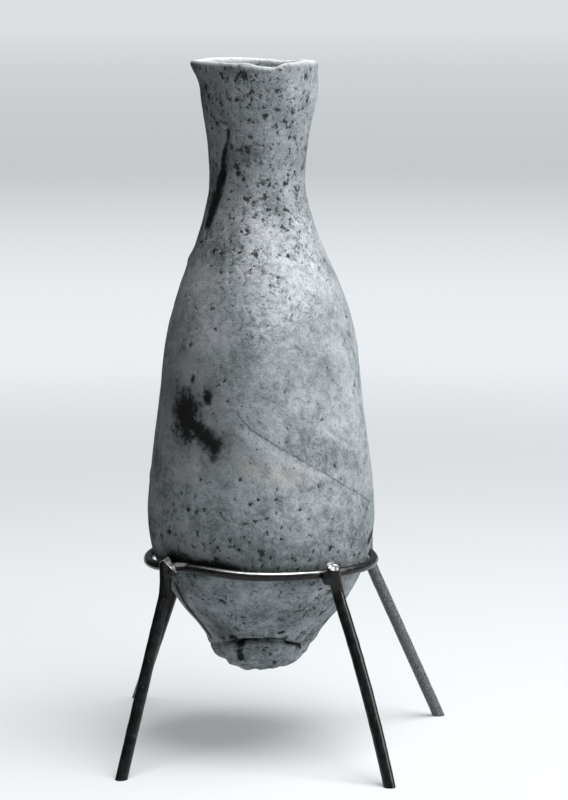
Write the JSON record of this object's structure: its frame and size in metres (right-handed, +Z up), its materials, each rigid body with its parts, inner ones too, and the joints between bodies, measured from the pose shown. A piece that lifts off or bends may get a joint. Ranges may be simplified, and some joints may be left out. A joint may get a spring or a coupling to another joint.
{
  "type": "ancient pottery bottle in rod stand",
  "caption": "Slim hand-made ancient pottery bottle with a flaring neck and a torn conical foot, resting upright in a ring on splayed iron rod legs.",
  "frame": {"origin": "middle of the stand's floor plan, on the floor under the four feet", "axes": "+Z up along the bottle, +X to the right and -Y towards the front as pictured"},
  "size_m": [0.166, 0.18, 0.3413],
  "materials": {
    "pottery": "matte",
    "iron": "satin"
  },
  "bodies": {
    "root": {"bottle": "pottery", "stand_ring": "iron", "leg_front_left": "iron", "leg_front_right": "iron", "leg_back_right": "iron", "leg_back_left": "iron"}
  },
  "joints": []
}
